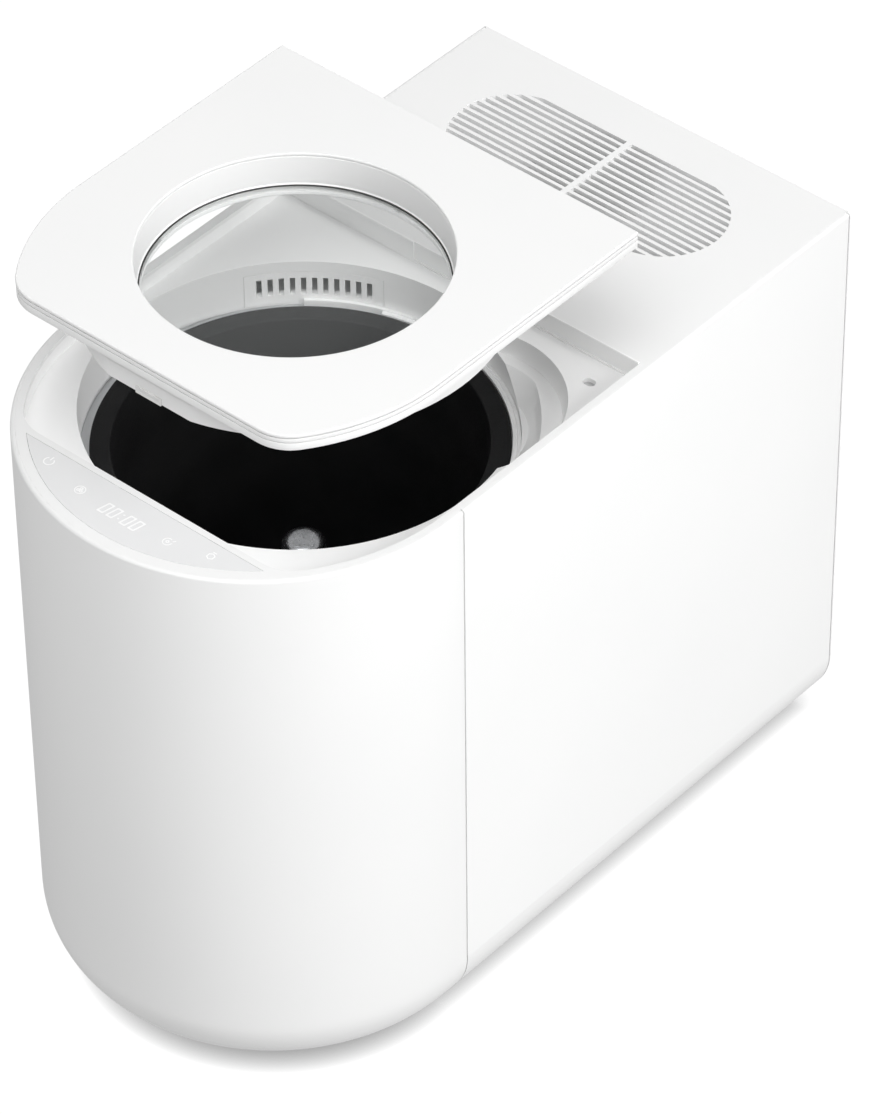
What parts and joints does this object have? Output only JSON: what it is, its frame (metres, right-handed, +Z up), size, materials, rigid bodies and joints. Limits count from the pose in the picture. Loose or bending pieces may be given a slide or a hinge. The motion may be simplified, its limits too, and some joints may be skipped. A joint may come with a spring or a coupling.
{
  "type": "electric food waste composter",
  "caption": "D-shaped electric food waste composter with a lift-off lid with a round window over a stirred inner bucket, a touch panel at the nose and a rear vent grille.",
  "frame": {"origin": "centre of the overall box, at the underside of the rubber feet", "axes": "+Z up, -Y towards the round front with the touch panel, +X towards the right side as seen from the front"},
  "size_m": [0.3, 0.5299, 0.531],
  "materials": {
    "white_shell": "satin",
    "soft_white": "satin",
    "panel_grey": "gloss",
    "circuit_board": "solder mask",
    "black_rubber": "matte",
    "clear_glass": "clear",
    "silicone": "matte",
    "black_plastic": "matte",
    "chamber_alloy": "satin",
    "heater_brass": "satin",
    "black_coat": "black non-stick coating",
    "steel": "brushed",
    "nylon": "matte",
    "bush_brass": "turned",
    "motor_steel": "satin",
    "carbon": "granular"
  },
  "bodies": {
    "body": {"front_shell": "white_shell", "left_side_panel": "white_shell", "right_side_panel": "white_shell", "rear_panel": "white_shell", "base_pan": "soft_white", "top_deck": "white_shell", "recess_tray": "white_shell", "rear_rail": "white_shell", "vent_insert": "soft_white", "touch_panel": "panel_grey", "display_board": "circuit_board", "lid_sensor": "soft_white", "chamber": "chamber_alloy", "chamber_legs": "chamber_alloy", "heater_band": "heater_brass", "bucket": "black_coat", "bucket_guide": "soft_white", "shaft_seal": "black_rubber", "shaft_bearing": "steel", "gear_bracket": "steel", "foot_bush": "bush_brass", "gear_motor": "motor_steel", "partition": "chamber_alloy", "exhaust_duct": "soft_white", "filter_box": "soft_white", "filter_cartridge": "carbon", "filter_stand": "steel", "fan_frame": "black_plastic", "exhaust_collar": "soft_white", "power_inlet": "black_plastic", "power_board": "circuit_board", "feet": "black_rubber", "rear_screws": "steel", "base_screws": "steel"},
    "lid": {"lid_plate": "white_shell", "lid_tray": "white_shell", "window_bezel": "white_shell", "window_gasket": "black_rubber", "window_glass": "clear_glass", "glass_ring": "soft_white", "lid_seal": "silicone", "latch_tab": "soft_white", "lid_peg": "black_plastic"},
    "stirrer": {"agitator": "steel", "drive_shaft": "steel", "drive_gear": "nylon"},
    "pinion": {"motor_shaft": "steel", "motor_pinion": "bush_brass"},
    "fan": {"fan_impeller": "black_plastic"}
  },
  "joints": [
    {"name": "lid_lift", "type": "slide", "parent": "body", "child": "lid", "axis": [0, 0, 1], "range_m": [-0.103, 0.1]},
    {"name": "stirrer_spin", "type": "hinge", "parent": "body", "child": "stirrer", "pos_m": [0, -0.081, 0.14], "axis": [0, 0, 1], "continuous": true},
    {"name": "pinion_spin", "type": "hinge", "parent": "body", "child": "pinion", "pos_m": [0, 0.0165, 0.089], "axis": [0, 0, 1], "continuous": true},
    {"name": "fan_spin", "type": "hinge", "parent": "body", "child": "fan", "pos_m": [0, 0.189, 0.405], "axis": [0, 0, 1], "continuous": true}
  ],
  "couplings": [
    {"joint": "pinion_spin", "follows": "stirrer_spin", "ratio": -4.5714}
  ]
}
